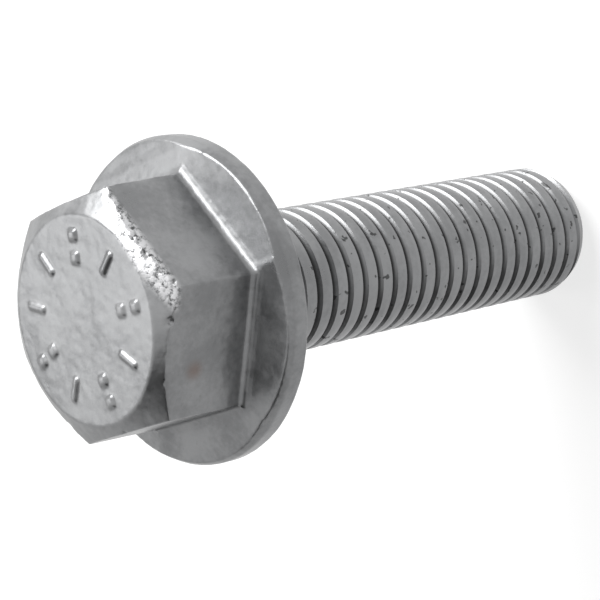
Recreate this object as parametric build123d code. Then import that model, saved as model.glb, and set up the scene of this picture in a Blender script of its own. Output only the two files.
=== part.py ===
from build123d import *
import math
import os

# Hexagon flange bolt, M12 x 1.75 x 45, threaded to near the head, forged in one piece.
# Millimetres. +Z runs up the axis out of the head, and the origin is the centre of the
# bearing face. The shank reaches down to -Z and the bolt stands on its flat tip.

# Driving dimensions: shank and thread
length = 44.0  # bearing face to tip, nominally 45
thread_diameter = 11.85  # over the crests
pitch = 1.75
flank_angle = 60.0  # between the two flanks of a groove, in degrees
crest_flat = 1.0  # left between two grooves
plain_diameter = 12.0  # of the short unthreaded length under the head
plain_length = 4.2
under_head_bevel = 0.6  # in the corner between the shank and the bearing face
tip_chamfer_length = 2.6  # along the axis
tip_chamfer_depth = 1.5  # off the radius

# Driving dimensions: hexagon
across_flats = 18.2  # at the foot of the hexagon, nominally 18
head_height = 10.9  # bearing face to top
side_draft = 1.5  # how far each side leans in towards the top, in degrees
corner_chamfer_height = 1.55  # how far down a corner the top chamfer reaches
top_chamfer_angle = 32.0  # from the top face, in degrees

# Driving dimensions: flange
flange_diameter = 26.0
rim_thickness = 1.85  # at the middle of a facet, before the bevel
flange_rise = 0.6  # from there up to the foot of the hexagon
facet_fillet = 0.6  # between a side of the hexagon and its facet
rim_bevel_start = 1.4  # height above the bearing face
rim_bevel_angle = 62.0  # from the bearing face, in degrees
bearing_edge_chamfer = 0.2

# Driving dimensions: raised marks on the top, plain bars and pairs of square pips in a ring
mark_ring_diameter = 10.8
mark_height = 0.25
mark_count = 9
bar_width = 0.6
bar_length = 2.0
pip_width = 0.8
pip_spacing = 1.6  # between the two pips of a pair

# Worked out from the values above
crest_radius = thread_diameter / 2
plain_radius = plain_diameter / 2
flange_radius = flange_diameter / 2
flank_slope = math.tan(math.radians(flank_angle / 2))
groove_half_width = (pitch - crest_flat) / 2
root_radius = crest_radius - groove_half_width / flank_slope
foot_height = rim_thickness + flange_rise
foot_half_width = across_flats / 2
corner_radius = foot_half_width / math.cos(math.radians(30))
top_chamfer_slope = math.tan(math.radians(top_chamfer_angle))
top_radius = corner_radius - corner_chamfer_height / top_chamfer_slope

clear = 0.4  # how far one shape runs past or into another that cuts or joins it


def turned_outline():
    """Half the section of the round blank: head, flange, plain length, grooves and tip."""
    blank_radius = corner_radius + clear
    bevel_rise = (flange_radius - blank_radius) * math.tan(math.radians(rim_bevel_angle))
    chamfer_drop = (blank_radius - top_radius) * top_chamfer_slope
    head = Polygon(
        (0, head_height),
        (0, -plain_length),
        (plain_radius, -plain_length),
        (plain_radius, -under_head_bevel),
        (plain_radius + under_head_bevel, 0),
        (flange_radius - bearing_edge_chamfer, 0),
        (flange_radius, bearing_edge_chamfer),
        (flange_radius, rim_bevel_start),
        (blank_radius, rim_bevel_start + bevel_rise),
        (blank_radius, head_height - chamfer_drop),
        (top_radius, head_height),
        align=None,
    )

    # One crest and one groove to a pitch, from the plain length down past the tip
    first_root = -plain_length - (plain_radius - root_radius) * flank_slope
    turns = math.ceil((length + first_root) / pitch) + 1
    edge = [(plain_radius, -plain_length)]
    for turn in range(turns):
        root = first_root - turn * pitch
        edge += [
            (root_radius, root),
            (crest_radius, root - groove_half_width),
            (crest_radius, root - groove_half_width - crest_flat),
        ]
    shank = Polygon((0, -plain_length), *edge, (0, edge[-1][1]), align=None)

    tip_run = (tip_chamfer_depth + clear) * tip_chamfer_length / tip_chamfer_depth
    pointed = Polygon(
        (0, 0),
        (0, -length),
        (crest_radius - tip_chamfer_depth, -length),
        (crest_radius + clear, -length + tip_run),
        (crest_radius + clear, 0),
        align=None,
    )
    return head + (shank & pointed)


def two_sides(angle):
    """Two opposite sides of the hexagon and their facets of the flange, as one long bar."""
    reach = flange_radius + clear
    reach_height = rim_thickness - clear * flange_rise / (flange_radius - foot_half_width)
    low = -length - clear
    high = head_height + clear
    lean = (high - foot_height) * math.tan(math.radians(side_draft))
    right = [
        (reach, low),
        (reach, reach_height),
        (foot_half_width, foot_height),
        (foot_half_width - lean, high),
    ]
    left = [(-x, z) for x, z in reversed(right)]
    bar = extrude(Plane.XZ * make_face(Polyline(*right, *left, close=True)), amount=reach, both=True)
    feet = [
        edge
        for edge in bar.edges().filter_by(Axis.Y)
        if math.dist((abs(edge.center().X), edge.center().Z), (foot_half_width, foot_height)) < 1e-3
    ]
    return Rot(0, 0, angle) * fillet(feet, facet_fillet)


def raised_marks():
    """A ring of plain radial bars and pairs of pips, sunk a little into the top."""
    shapes = Sketch()
    for place in range(mark_count):
        where = Rot(0, 0, place * 360 / mark_count) * Pos(mark_ring_diameter / 2, 0, 0)
        if place % 2 == 0:
            shapes += where * Rectangle(bar_length, bar_width)
        else:
            shapes += where * Pos(pip_spacing / 2, 0, 0) * Rectangle(pip_width, pip_width)
            shapes += where * Pos(-pip_spacing / 2, 0, 0) * Rectangle(pip_width, pip_width)
    return extrude(Pos(0, 0, head_height - clear) * shapes, amount=clear + mark_height)


bolt = revolve(Plane.XZ * turned_outline(), Axis.Z)
for angle in (0, 60, 120):
    bolt = bolt & two_sides(angle)
bolt = bolt + raised_marks()

os.makedirs("parts", exist_ok=True)
export_step(bolt, "parts/flange_bolt.step")
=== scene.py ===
"""Dresses the flange bolt: one forged, thread-rolled and galvanised piece, worn by use."""
import math

import bmesh
import bpy
import numpy as np
from bpy.props import FloatProperty, FloatVectorProperty, IntProperty, PointerProperty
from mathutils import Matrix, Vector


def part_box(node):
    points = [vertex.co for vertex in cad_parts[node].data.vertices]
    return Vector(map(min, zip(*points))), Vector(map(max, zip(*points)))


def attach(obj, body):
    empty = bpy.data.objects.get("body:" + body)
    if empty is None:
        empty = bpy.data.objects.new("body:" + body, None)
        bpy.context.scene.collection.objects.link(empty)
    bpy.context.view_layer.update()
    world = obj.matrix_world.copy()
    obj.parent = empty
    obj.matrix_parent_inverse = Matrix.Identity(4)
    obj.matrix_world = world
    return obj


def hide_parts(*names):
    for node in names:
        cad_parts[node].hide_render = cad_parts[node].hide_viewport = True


bl_info = {
    "name": "Flange bolt",
    "version": (1, 0, 0),
    "blender": (4, 5, 0),
    "location": "View3D > Sidebar > Bolt",
    "description": "Models a worn galvanised hexagon flange bolt over its CAD frame",
    "category": "Object",
}

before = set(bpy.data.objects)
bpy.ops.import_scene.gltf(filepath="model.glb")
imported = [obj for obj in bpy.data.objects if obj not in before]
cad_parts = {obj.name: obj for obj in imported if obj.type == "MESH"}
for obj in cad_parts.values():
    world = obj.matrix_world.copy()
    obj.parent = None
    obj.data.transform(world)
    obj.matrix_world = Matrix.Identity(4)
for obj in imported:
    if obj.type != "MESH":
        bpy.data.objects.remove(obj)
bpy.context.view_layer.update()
LOW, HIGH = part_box("flange_bolt")
MM = 0.001


def length(name, description, default_mm):
    """A length property whose default is written in millimetres."""
    return FloatProperty(name=name, description=description, default=default_mm * MM, unit="LENGTH", precision=6)


class BoltHead(bpy.types.PropertyGroup):
    """Sizes of the hexagon, the flange and the raised marks."""

    flange_radius: FloatProperty(name="Flange radius", description="Outside of the flange", default=HIGH.x - 0.03 * MM, unit="LENGTH")
    across_flats: length("Across flats", "Between two sides of the hexagon, at its foot", 18.2)
    top: length("Top", "Height of the plain top above the bearing face", 10.9)
    foot: length("Foot", "Height of the foot of the hexagon", 2.45)
    side_draft: FloatProperty(name="Draft", description="Lean of each side", default=math.radians(1.5), subtype="ANGLE")
    foot_fillet: length("Foot fillet", "Between a side of the hexagon and its facet", 0.6)
    facet_rise: length("Facet rise", "From the rim up to the foot of the hexagon", 0.6)
    top_radius: length("Top radius", "Radius of the flat top inside the chamfer", 8.03)
    chamfer: FloatProperty(name="Chamfer", description="Slope of the chamfer", default=math.radians(32), subtype="ANGLE")
    rim_height: length("Rim height", "Height of the straight rim", 1.4)
    rim_bevel: FloatProperty(name="Rim bevel", description="Slope of the rim's bevel", default=math.radians(62), subtype="ANGLE")
    under_fillet: length("Under-head fillet", "Between shank and bearing face", 0.6)
    mark_ring: length("Mark ring", "Radius of the ring of raised marks", 5.6)
    mark_height: length("Mark height", "Height of the marks above the top", 0.22)
    mark_count: IntProperty(name="Marks", description="Places in the ring of marks", default=9)
    grain: length("Grain", "Spacing of the finished skin's mesh", 0.12)


class BoltShank(bpy.types.PropertyGroup):
    """Sizes of the shank and its thread."""

    tip: FloatProperty(name="Tip", description="Height of the tip's flat end", default=LOW.z, unit="LENGTH")
    crest_radius: length("Crest radius", "Outside of the thread", 5.92)
    plain_radius: length("Plain radius", "Radius of the unthreaded length", 6.0)
    plain_length: length("Plain length", "Unthreaded length under the head", 4.2)
    pitch: length("Pitch", "Distance between two crests", 1.75)
    depth: length("Thread depth", "From crest to root", 0.45)
    crest_flat: length("Crest flat", "Width of the worn crest", 1.08)
    phase: FloatProperty(name="Phase", description="Turn of the thread about the axis", default=math.radians(141), subtype="ANGLE")
    tip_length: length("Tip length", "Length of the pointed end", 2.6)
    tip_depth: length("Tip depth", "How far the pointed end tapers", 1.5)
    steps: IntProperty(name="Steps", description="Segments to a turn of the thread", default=96)


class BoltFinish(bpy.types.PropertyGroup):
    """Colours of the worn zinc."""

    zinc: FloatVectorProperty(name="Zinc", description="Plain zinc", subtype="COLOR", default=(0.2, 0.203, 0.207))
    pale: FloatVectorProperty(name="Pale zinc", description="Paler spangles", subtype="COLOR", default=(0.295, 0.298, 0.303))
    # The grime colour also paints shade into the thread's grooves
    grime_and_groove_shade: FloatVectorProperty(name="Grime", description="Dirt in the grooves", subtype="COLOR", default=(0.02, 0.02, 0.02))
    rust: FloatVectorProperty(name="Rust", description="Faint rust spot", subtype="COLOR", default=(0.16, 0.09, 0.06))


def deselect():
    """Leaves nothing selected and Object Mode on."""
    if bpy.context.object and bpy.context.object.mode != "OBJECT":
        bpy.ops.object.mode_set(mode="OBJECT")
    bpy.ops.object.select_all(action="DESELECT")


def active_only(piece):
    """Selects one piece and nothing else."""
    deselect()
    piece.select_set(True)
    bpy.context.view_layer.objects.active = piece


def apply_modifier(piece, kind, **settings):
    """Adds a modifier, sets it and applies it."""
    active_only(piece)
    modifier = piece.modifiers.new(kind.title(), kind)
    for name, value in settings.items():
        setattr(modifier, name, value)
    bpy.ops.object.modifier_apply(modifier=modifier.name)


def join(pieces, name):
    """Joins several pieces into the first, under a new name."""
    active_only(pieces[0])
    for piece in pieces[1:]:
        piece.select_set(True)
    bpy.ops.object.join()
    bpy.context.object.name = name
    return bpy.context.object


def settle(piece):
    """Puts the piece's place into its mesh."""
    active_only(piece)
    bpy.ops.object.transform_apply(location=True, rotation=True, scale=True)


def turned(name, rings, sides):
    """A closed shape made from a flat polygon, extruded and resized from ring to ring of (height, radius)."""
    deselect()
    height, radius = rings[0]
    bpy.ops.mesh.primitive_circle_add(vertices=sides, radius=radius, fill_type="NGON", location=(0, 0, height))
    piece = bpy.context.object
    piece.name = name
    settle(piece)
    bpy.ops.object.mode_set(mode="EDIT")
    bpy.ops.mesh.select_all(action="SELECT")
    for next_height, next_radius in rings[1:]:
        bpy.ops.mesh.extrude_region_move(TRANSFORM_OT_translate={"value": (0, 0, next_height - height)})
        ratio = next_radius / radius
        bpy.ops.transform.resize(value=(ratio, ratio, 1), center_override=(0, 0, next_height))
        height, radius = next_height, next_radius
    bpy.ops.mesh.select_all(action="SELECT")
    bpy.ops.mesh.normals_make_consistent(inside=False)
    bpy.ops.object.mode_set(mode="OBJECT")
    return piece


def trim(piece, point, normal, fill=True):
    """Cuts away what lies past a plane, on the side its normal points to."""
    active_only(piece)
    bpy.ops.object.mode_set(mode="EDIT")
    bpy.ops.mesh.select_all(action="SELECT")
    bpy.ops.mesh.bisect(plane_co=point, plane_no=normal, use_fill=fill, clear_outer=True)
    bpy.ops.object.mode_set(mode="OBJECT")


def keep_common(piece, other, operation="INTERSECT"):
    """Keeps what two shapes share, or what the operation says, and removes the second."""
    apply_modifier(piece, "BOOLEAN", operation=operation, object=other, solver="EXACT")
    bpy.data.objects.remove(other)


def hexagon(head):
    """The six sides, flaring into a fillet at their foot, with the chamfered top."""
    corner = 1 / math.cos(math.radians(30))
    half = head.across_flats / 2
    lean = math.tan(head.side_draft)
    radius = head.foot_fillet
    rings = [(head.foot - 1.2 * MM, (half + radius) * corner)]
    for step in range(0, 91, 15):
        angle = math.radians(step)
        height = head.foot + radius * (1 - math.cos(angle)) - 0.05 * MM
        rings.append((height, (half + radius * (1 - math.sin(angle))) * corner))
    rings.append((head.top + 1 * MM, (half - lean * (head.top + 1 * MM - head.foot)) * corner))
    sides = turned("hexagon", rings, 6)
    outer = head.top_radius + 5 * MM
    drop = 5 * MM * math.tan(head.chamfer)
    rings = [(0.5 * MM, outer), (head.top - drop, outer), (head.top, head.top_radius)]
    keep_common(sides, turned("chamfer", rings, 192))
    return sides


def flange(head, shank):
    """The round flange with its bevelled rim, six facets, under-head fillet and plain neck."""
    radius = head.under_fillet
    neck = shank.plain_radius
    edge = 0.2 * MM
    slope = math.tan(head.rim_bevel)
    rings = [(-3 * MM, neck), (-radius, neck)]
    rings += [
        (-radius * (1 - math.sin(math.radians(s))), neck + radius * (1 - math.cos(math.radians(s))))
        for s in range(15, 91, 15)
    ]
    rings += [
        (0.0, head.flange_radius - edge),
        (edge, head.flange_radius),
        (head.rim_height, head.flange_radius),
        (head.rim_height + 2.2 * MM * slope, head.flange_radius - 2.2 * MM),
    ]
    disc = turned("flange", rings, 192)
    half = head.across_flats / 2
    fall = head.facet_rise / (head.flange_radius - half)
    for side in range(6):
        angle = math.radians(60 * side)
        out = Vector((math.cos(angle), math.sin(angle), 0))
        trim(disc, out * half + Vector((0, 0, head.foot)), out * fall + Vector((0, 0, 1)))
    return disc


def nicks(head):
    """Small blunt wedges sunk where use has battered the chamfer's edge."""
    wedges = []
    rng = np.random.default_rng(7)
    corner = head.across_flats / 2 / math.cos(math.radians(30))
    for number in range(64):
        azimuth = math.radians(rng.uniform(-151, -92) if number < 50 else rng.uniform(-80, 210))
        off = (azimuth - math.radians(0)) % math.radians(60)
        off = off if off < math.radians(30) else off - math.radians(60)
        reach = (head.across_flats / 2 - 0.2 * MM) / math.cos(off)
        height = head.top - (reach - head.top_radius) * math.tan(head.chamfer)
        size = rng.uniform(0.18, 0.42) * MM
        out = reach + size * 0.35 + rng.uniform(-0.1, 0.15) * MM
        if out > corner + size:
            continue
        deselect()
        place = (out * math.cos(azimuth), out * math.sin(azimuth), height + rng.uniform(-0.1, 0.25) * MM)
        bpy.ops.mesh.primitive_ico_sphere_add(subdivisions=1, radius=size, location=place)
        wedge = bpy.context.object
        wedge.scale = (rng.uniform(0.8, 1.4), rng.uniform(0.7, 1.5), rng.uniform(0.6, 1.1))
        wedge.rotation_euler = rng.uniform(0, 3, 3)
        settle(wedge)
        wedges.append(wedge)
    return wedges


def raised_marks(head):
    """Plain bars and pairs of pips in a ring on the top."""
    pieces = []
    for place in range(head.mark_count):
        turn = 2 * math.pi * place / head.mark_count + 0.12
        spans = [(0.0, 2.0, 0.55)] if place % 2 == 0 else [(-0.85, 0.9, 0.9), (0.85, 0.9, 0.9)]
        for offset, long, wide in spans:
            deselect()
            bpy.ops.mesh.primitive_cube_add(size=1)
            mark = bpy.context.object
            depth = 0.5 * MM
            mark.scale = (long * MM, wide * MM, head.mark_height + depth)
            radius = head.mark_ring + offset * MM
            mark.location = (
                radius * math.cos(turn),
                radius * math.sin(turn),
                head.top + (head.mark_height - depth) / 2,
            )
            mark.rotation_euler.z = turn
            settle(mark)
            apply_modifier(mark, "BEVEL", width=0.2 * MM, segments=3, limit_method="ANGLE")
            pieces.append(mark)
    return join(pieces, "marks")


def roughen(piece, scale_mm, strength_mm, seed_turn=0.0):
    """Moves the skin in and out along its normals by a soft cloud pattern."""
    pattern = bpy.data.textures.new("unevenness", "CLOUDS")
    pattern.noise_scale = scale_mm * MM
    pattern.noise_depth = 2
    apply_modifier(piece, "DISPLACE", texture=pattern, strength=strength_mm * MM, mid_level=0.5, texture_coords="LOCAL")


class BOLT_OT_head(bpy.types.Operator):
    """Model the head: hexagon, flange, facets, marks and nicks"""

    bl_idname = "bolt.head"
    bl_label = "Head and flange"

    def execute(self, context):
        head, shank = context.scene.bolt_head, context.scene.bolt_shank
        sides = hexagon(head)
        for wedge in nicks(head):
            keep_common(sides, wedge, "DIFFERENCE")
        piece = join([sides, flange(head, shank), raised_marks(head)], "head")
        apply_modifier(piece, "REMESH", mode="VOXEL", voxel_size=head.grain)
        apply_modifier(piece, "SMOOTH", factor=0.5, iterations=2)
        roughen(piece, 2.6, 0.07)
        roughen(piece, 0.7, 0.03)
        apply_modifier(piece, "DECIMATE", ratio=0.5)
        return {"FINISHED"}


def thread(shank):
    """The helical thread as one closed shape, swept past both ends of its length."""
    root = shank.crest_radius - shank.depth
    flat = shank.crest_flat
    flank = shank.depth * math.tan(math.radians(30))
    floor = shank.pitch - flat - 2 * flank
    profile = [
        (shank.crest_radius - 0.05 * MM, 0.0),
        (shank.crest_radius - 0.01 * MM, flat * 0.2),
        (shank.crest_radius, flat * 0.5),
        (shank.crest_radius - 0.01 * MM, flat * 0.8),
        (shank.crest_radius - 0.05 * MM, flat),
        (shank.crest_radius - shank.depth / 2, flat + flank / 2),
        (root + 0.06 * MM, flat + flank * 0.94),
        (root, flat + flank + floor * 0.3),
        (root, flat + flank + floor * 0.7),
        (root + 0.06 * MM, flat + flank * 1.06 + floor),
        (shank.crest_radius - shank.depth / 2, flat + flank * 1.5 + floor),
        (shank.crest_radius - 0.05 * MM, shank.pitch),
    ]
    turns = math.ceil((-shank.plain_length - shank.tip) / shank.pitch) + 3
    start = shank.tip - 1.5 * shank.pitch
    deselect()
    bpy.ops.mesh.primitive_circle_add(vertices=3, radius=shank.crest_radius, fill_type="NOTHING")
    piece = bpy.context.object
    piece.name = "thread"
    bpy.ops.object.mode_set(mode="EDIT")
    shape = bmesh.from_edit_mesh(piece.data)
    bmesh.ops.delete(shape, geom=list(shape.verts), context="VERTS")
    verts = [shape.verts.new((radius, 0, start + height)) for radius, height in profile]
    for low, high in zip(verts, verts[1:]):
        shape.edges.new((low, high))
    bmesh.update_edit_mesh(piece.data)
    bpy.ops.object.mode_set(mode="OBJECT")
    apply_modifier(
        piece,
        "SCREW",
        axis="Z",
        steps=shank.steps,
        render_steps=shank.steps,
        iterations=turns,
        screw_offset=shank.pitch,
        use_merge_vertices=True,
        merge_threshold=1e-6,
        use_smooth_shade=False,
    )
    bpy.ops.object.mode_set(mode="EDIT")
    bpy.ops.mesh.select_all(action="SELECT")
    bpy.ops.mesh.remove_doubles(threshold=2e-6)
    shape = bmesh.from_edit_mesh(piece.data)
    rim = [edge for edge in shape.edges if edge.is_boundary]
    for low_end in (True, False):
        loop = [e for e in rim if (sum(v.co.z for v in e.verts) / 2 < (start / 2)) == low_end]
        middle = sum((v.co.z for e in loop for v in e.verts), 0.0) / (2 * len(loop))
        centre = shape.verts.new((0, 0, middle + (-1 if low_end else 1) * MM))
        for edge in loop:
            shape.faces.new((*edge.verts, centre))
    bmesh.update_edit_mesh(piece.data)
    bpy.ops.mesh.select_all(action="SELECT")
    bpy.ops.mesh.normals_make_consistent(inside=False)
    bpy.ops.object.mode_set(mode="OBJECT")
    piece.rotation_euler.z = shank.phase
    settle(piece)
    return piece


class BOLT_OT_shank(bpy.types.Operator):
    """Model the threaded shank with its run-out and pointed end"""

    bl_idname = "bolt.shank"
    bl_label = "Threaded shank"

    def execute(self, context):
        shank = context.scene.bolt_shank
        piece = thread(shank)
        crest, tip = shank.crest_radius, shank.tip
        end = [
            (tip, crest - shank.tip_depth - 0.25 * MM),
            (tip + 0.12 * MM, crest - shank.tip_depth),
            (tip + shank.tip_length * 0.55, crest - shank.tip_depth * 0.34),
            (tip + shank.tip_length, crest - 0.01 * MM),
            (tip + shank.tip_length + 0.4 * MM, crest + 0.2 * MM),
            (-shank.plain_length + 0.8 * MM, crest + 0.2 * MM),
        ]
        keep_common(piece, turned("pointed", end, shank.steps))
        plain = [
            (-shank.plain_length - 3 * shank.pitch / 2, crest - shank.depth - 0.1 * MM),
            (-shank.plain_length, shank.plain_radius - 0.02 * MM),
            (-shank.plain_length + 0.25 * MM, shank.plain_radius),
            (-1.2 * MM, shank.plain_radius),
        ]
        keep_common(piece, turned("plain", plain, shank.steps), "UNION")
        piece.name = "shank"
        return {"FINISHED"}


def edge_wear_and_sheen_attribute(piece):
    """Stores how convex the skin is at each point, for paler worn edges that are partly a painted highlight."""
    mesh = piece.data
    count = len(mesh.vertices)
    place = np.empty(count * 3)
    mesh.vertices.foreach_get("co", place)
    place = place.reshape(-1, 3)
    normal = np.empty(count * 3)
    mesh.vertices.foreach_get("normal", normal)
    normal = normal.reshape(-1, 3)
    ends = np.empty(len(mesh.edges) * 2, int)
    mesh.edges.foreach_get("vertices", ends)
    one, two = ends.reshape(-1, 2).T
    near = np.zeros_like(place)
    links = np.zeros(count)
    for a, b in ((one, two), (two, one)):
        np.add.at(near, a, place[b])
        np.add.at(links, a, 1)
    gap = near / links[:, None] - place
    bend = -(gap * normal).sum(1) / np.maximum(np.linalg.norm(place[one] - place[two], axis=1).mean(), 1e-9)
    for _ in range(3):
        total = np.zeros(count)
        for a, b in ((one, two), (two, one)):
            np.add.at(total, a, bend[b])
        bend = 0.4 * bend + 0.6 * total / links
    store = mesh.attributes.new("wear_and_sheen", "FLOAT", "POINT")
    store.data.foreach_set("value", bend.astype(np.float32))


def worn_zinc(finish):
    """Galvanised steel: soft spangle, fine grain, dark flecks, painted shade in the thread's grooves and paler worn
    edges that are partly a painted highlight.
    """
    material = bpy.data.materials.new("worn_zinc")
    material.use_nodes = True
    nodes, links = material.node_tree.nodes, material.node_tree.links
    shader = nodes["Principled BSDF"]
    shader.inputs["Metallic"].default_value = 0.72

    def node(kind, **values):
        made = nodes.new(kind)
        for key, value in values.items():
            if key in made.inputs:
                made.inputs[key].default_value = value
            else:
                setattr(made, key, value)
        return made

    def span(source, low, high, to_low=0.0, to_high=1.0):
        made = node("ShaderNodeMapRange", interpolation_type="SMOOTHSTEP")
        for key, value in zip(("From Min", "From Max", "To Min", "To Max"), (low, high, to_low, to_high)):
            made.inputs[key].default_value = value
        links.new(source, made.inputs["Value"])
        return made.outputs["Result"]

    def math_node(operation, first, second=None):
        made = node("ShaderNodeMath", operation=operation)
        for socket, value in zip(made.inputs, (first, second)):
            if isinstance(value, (int, float)):
                socket.default_value = value
            elif value is not None:
                links.new(value, socket)
        return made.outputs[0]

    def blend(amount, first, second):
        made = node("ShaderNodeMix", data_type="RGBA")
        links.new(amount, made.inputs["Factor"])
        for socket, value in ((made.inputs["A"], first), (made.inputs["B"], second)):
            if isinstance(value, bpy.types.NodeSocket):
                links.new(value, socket)
            else:
                socket.default_value = (*value, 1)
        return made.outputs["Result"]

    where = node("ShaderNodeTexCoord").outputs["Object"]

    def noise(scale, detail=2.0, rough=0.5):
        made = node("ShaderNodeTexNoise", Scale=scale, Detail=detail, Roughness=rough)
        links.new(where, made.inputs["Vector"])
        return made.outputs["Fac"]

    spots = node("ShaderNodeTexVoronoi", Scale=420.0)
    links.new(where, spots.inputs["Vector"])
    cloud = noise(260.0, 3.0)
    fine = noise(1900.0, 3.0, 0.6)
    mottle = math_node("ADD", math_node("MULTIPLY", cloud, 0.7), math_node("MULTIPLY", fine, 0.3))
    colour = blend(span(mottle, 0.36, 0.66), finish.zinc, finish.pale)

    part = node("ShaderNodeSeparateXYZ")
    links.new(where, part.inputs[0])
    across = math_node("POWER", part.outputs["X"], 2.0)
    across = math_node("SQRT", math_node("ADD", across, math_node("POWER", part.outputs["Y"], 2.0)))
    # Painted shade: the thread's roots, found by their distance from the axis, are darkened almost to black where their
    # shade falls
    below = span(part.outputs["Z"], -0.0044, -0.0048)
    threaded = math_node("MULTIPLY", below, span(part.outputs["Z"], -0.0416, -0.0408))
    groove_shade = math_node("MULTIPLY", span(across, 0.00577, 0.00553, 0.0, 0.85), threaded)
    wear_and_sheen = node("ShaderNodeAttribute", attribute_name="wear_and_sheen").outputs["Fac"]
    # Convex edges turn paler: worn edges, and partly a painted highlight
    edge = span(wear_and_sheen, 0.06, 0.22)
    fleck = span(noise(1250.0, 2.0), 0.66, 0.71)
    fleck_low = math_node("MULTIPLY", fleck, span(part.outputs["Z"], 0.0005, -0.0005, 0.12, 1.0))

    # Paler worn edges, partly a painted highlight
    colour = blend(math_node("MULTIPLY", edge, 0.5), colour, finish.pale)
    # Painted shade in the thread's grooves
    colour = blend(groove_shade, colour, finish.grime_and_groove_shade)
    colour = blend(math_node("MULTIPLY", fleck_low, 0.8), colour, finish.grime_and_groove_shade)

    spot = node("ShaderNodeVectorMath", operation="DISTANCE")
    links.new(where, spot.inputs[0])
    spot.inputs[1].default_value = (-0.00897, 0.00157, 0.00755)
    rust = math_node("MULTIPLY", span(spot.outputs["Value"], 0.0011, 0.0001), 0.45)
    colour = blend(rust, colour, finish.rust)
    rough = math_node("ADD", span(mottle, 0.3, 0.7, 0.27, 0.41), math_node("MULTIPLY", groove_shade, 0.3))
    links.new(rough, shader.inputs["Roughness"])

    # The chamfer that has taken the knocks is pitted down to bright metal
    reach = node("ShaderNodeVectorMath", operation="DOT_PRODUCT")
    links.new(where, reach.inputs[0])
    reach.inputs[1].default_value = (-0.574, -0.819, 0)
    struck = math_node("MULTIPLY", span(reach.outputs["Value"], 0.0076, 0.0083), span(part.outputs["Z"], 0.0092, 0.0099))
    pits = noise(2300.0, 3.0, 0.7)
    colour = blend(math_node("MULTIPLY", struck, span(pits, 0.40, 0.56, 0.0, 0.9)), colour, (0.62, 0.62, 0.63))
    colour = blend(math_node("MULTIPLY", struck, span(pits, 0.44, 0.36, 0.0, 0.75)), colour, finish.grime_and_groove_shade)

    bump = node("ShaderNodeBump", Strength=0.25, Distance=0.00004)
    grain = math_node("ADD", fine, math_node("MULTIPLY", noise(600.0, 2.0), 1.2))
    links.new(math_node("ADD", grain, math_node("MULTIPLY", struck, math_node("MULTIPLY", pits, 3.0))), bump.inputs["Height"])
    links.new(bump.outputs["Normal"], shader.inputs["Normal"])
    links.new(colour, shader.inputs["Base Color"])
    return material


def open_ring(piece, height, keep_above):
    """Cuts a piece open at a height and returns nothing: the rim is left for bridging."""
    trim(piece, (0, 0, height), (0, 0, -1 if keep_above else 1), fill=False)


class BOLT_OT_body(bpy.types.Operator):
    """Join head and shank into one closed skin, and give it the worn zinc"""

    bl_idname = "bolt.body"
    bl_label = "Whole bolt"

    def execute(self, context):
        head, shank = bpy.data.objects["head"], bpy.data.objects["shank"]
        open_ring(head, -1.6 * MM, True)
        open_ring(shank, -1.9 * MM, False)
        bolt = join([head, shank], "bolt")
        bpy.ops.object.mode_set(mode="EDIT")
        bpy.ops.mesh.select_mode(type="EDGE")
        bpy.ops.mesh.select_all(action="DESELECT")
        bpy.ops.mesh.select_non_manifold(extend=False, use_wire=False, use_multi_face=False, use_non_contiguous=False, use_verts=False)
        bpy.ops.mesh.bridge_edge_loops()
        bpy.ops.mesh.select_all(action="SELECT")
        bpy.ops.mesh.quads_convert_to_tris()
        bpy.ops.mesh.normals_make_consistent(inside=False)
        bpy.ops.object.mode_set(mode="OBJECT")
        shape = bmesh.new()
        shape.from_mesh(bolt.data)
        loose = sum(not edge.is_manifold for edge in shape.edges)
        shape.free()
        print("bolt triangles", len(bolt.data.polygons), "open edges", loose)
        bolt.data.materials.clear()
        bolt.data.materials.append(worn_zinc(context.scene.bolt_finish))
        bpy.ops.object.shade_smooth_by_angle(angle=math.radians(32))
        edge_wear_and_sheen_attribute(bolt)
        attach(bolt, "root")
        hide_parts("flange_bolt")
        return {"FINISHED"}


def seen_directly(nodes, links):
    """One where the camera, a reflection or clear glass sees the surface, zero where it only lights others."""
    path = nodes.new("ShaderNodeLightPath")
    total = path.outputs["Is Camera Ray"]
    for kind in ("Is Glossy Ray", "Is Transmission Ray"):
        either = nodes.new("ShaderNodeMath")
        either.operation = "MAXIMUM"
        links.new(total, either.inputs[0])
        links.new(path.outputs[kind], either.inputs[1])
        total = either.outputs[0]
    return total


def soft_lamp(name, place, size, power):
    """A square soft lamp aimed at the bolt."""
    light = bpy.data.lights.new(name, "AREA")
    light.size = size
    light.energy = power
    lamp = bpy.data.objects.new(name, light)
    bpy.context.scene.collection.objects.link(lamp)
    lamp.location = place
    lamp.rotation_euler = (Vector((0, 0, -0.01)) - lamp.location).to_track_quat("-Z", "Y").to_euler()
    return lamp


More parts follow.
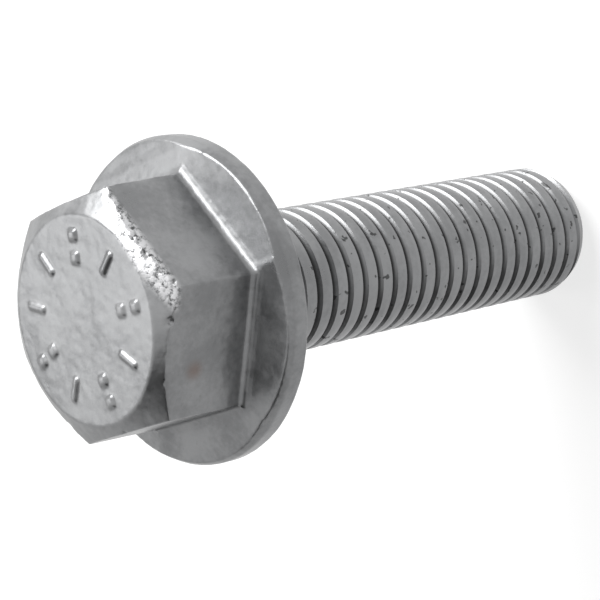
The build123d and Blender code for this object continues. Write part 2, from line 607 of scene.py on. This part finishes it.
class BOLT_OT_stage(bpy.types.Operator):
    """Set up the pale floor, the soft studio light and the camera"""

    bl_idname = "bolt.stage"
    bl_label = "Stage"

    def execute(self, context):
        scene = context.scene
        scene.view_settings.view_transform = "Standard"
        deselect()
        bpy.ops.mesh.primitive_plane_add(size=6, location=(0, 0, LOW.z))
        floor = context.object
        floor.name = "floor"
        pale = bpy.data.materials.new("pale_floor")
        pale.use_nodes = True
        nodes, links = pale.node_tree.nodes, pale.node_tree.links
        shader = nodes["Principled BSDF"]
        shader.inputs["Base Color"].default_value = (0.4, 0.4, 0.4, 1)
        shader.inputs["Roughness"].default_value = 1
        shader.inputs["Specular IOR Level"].default_value = 0
        shader.inputs["Emission Color"].default_value = (1, 1, 1, 1)
        lift = nodes.new("ShaderNodeMath")
        lift.operation = "MULTIPLY"
        lift.inputs[1].default_value = 0.75
        links.new(seen_directly(nodes, links), lift.inputs[0])
        links.new(lift.outputs[0], shader.inputs["Emission Strength"])
        floor.data.materials.append(pale)

        # A dark card to one side gives the metal something dim to mirror
        deselect()
        aim = Vector((-0.345, 0.708, 0.616))
        bpy.ops.mesh.primitive_plane_add(size=0.5, location=aim * 0.5, rotation=aim.to_track_quat("Z", "Y").to_euler())
        card = context.object
        card.name = "dark_card"
        dark = bpy.data.materials.new("dark_card")
        dark.use_nodes = True
        shader = dark.node_tree.nodes["Principled BSDF"]
        shader.inputs["Base Color"].default_value = (0.03, 0.03, 0.03, 1)
        shader.inputs["Roughness"].default_value = 1
        shader.inputs["Specular IOR Level"].default_value = 0
        card.data.materials.append(dark)

        world = bpy.data.worlds.new("studio")
        scene.world = world
        world.use_nodes = True
        nodes, links = world.node_tree.nodes, world.node_tree.links
        background = nodes["Background"]
        background.inputs["Color"].default_value = (1, 1, 1, 1)
        lit = nodes.new("ShaderNodeMapRange")
        lit.inputs["To Min"].default_value = 0.18
        lit.inputs["To Max"].default_value = 1
        links.new(seen_directly(nodes, links), lit.inputs["Value"])
        links.new(lit.outputs["Result"], background.inputs["Strength"])

        soft_lamp("key", (0.256, -0.365, 0.401), 0.45, 5.2)
        soft_lamp("fill", (0.41, 0.11, 0.42), 0.2, 0.42)

        view = bpy.data.cameras.new("camera")
        view.sensor_width = 36
        view.lens = 36 * 1953.86 / 600
        view.clip_start = 0.01
        camera = bpy.data.objects.new("camera", view)
        scene.collection.objects.link(camera)
        right = Vector((-0.69341119, -0.09934686, -0.71366037))
        up = Vector((0.29086443, -0.94475841, -0.15109409))
        back = Vector((-0.65922592, -0.31234875, 0.68400252))
        turn = Matrix((right, up, back)).transposed().to_4x4()
        camera.matrix_world = Matrix.Translation((-0.10665983, -0.04853062, 0.09864718)) @ turn
        scene.camera = camera
        return {"FINISHED"}


class BOLT_PT_panel(bpy.types.Panel):
    """Lists the steps and the sizes of the bolt"""

    bl_label = "Flange bolt"
    bl_space_type = "VIEW_3D"
    bl_region_type = "UI"
    bl_category = "Bolt"

    def draw(self, context):
        for step in STEPS:
            self.layout.operator(step.bl_idname)
        for name in ("bolt_head", "bolt_shank", "bolt_finish"):
            group = getattr(context.scene, name)
            box = self.layout.box()
            for key in group.__annotations__:
                box.prop(group, key)


STEPS = (BOLT_OT_head, BOLT_OT_shank, BOLT_OT_body, BOLT_OT_stage)
GROUPS = {"bolt_head": BoltHead, "bolt_shank": BoltShank, "bolt_finish": BoltFinish}


def register():
    for kind in (*GROUPS.values(), *STEPS, BOLT_PT_panel):
        bpy.utils.register_class(kind)
    for name, kind in GROUPS.items():
        setattr(bpy.types.Scene, name, PointerProperty(type=kind))


def unregister():
    for name in GROUPS:
        delattr(bpy.types.Scene, name)
    for kind in (BOLT_PT_panel, *reversed(STEPS), *reversed(GROUPS.values())):
        bpy.utils.unregister_class(kind)


def main():
    register()
    bpy.ops.bolt.head()
    bpy.ops.bolt.shank()
    bpy.ops.bolt.body()
    bpy.ops.bolt.stage()


if __name__ == "__main__":
    main()
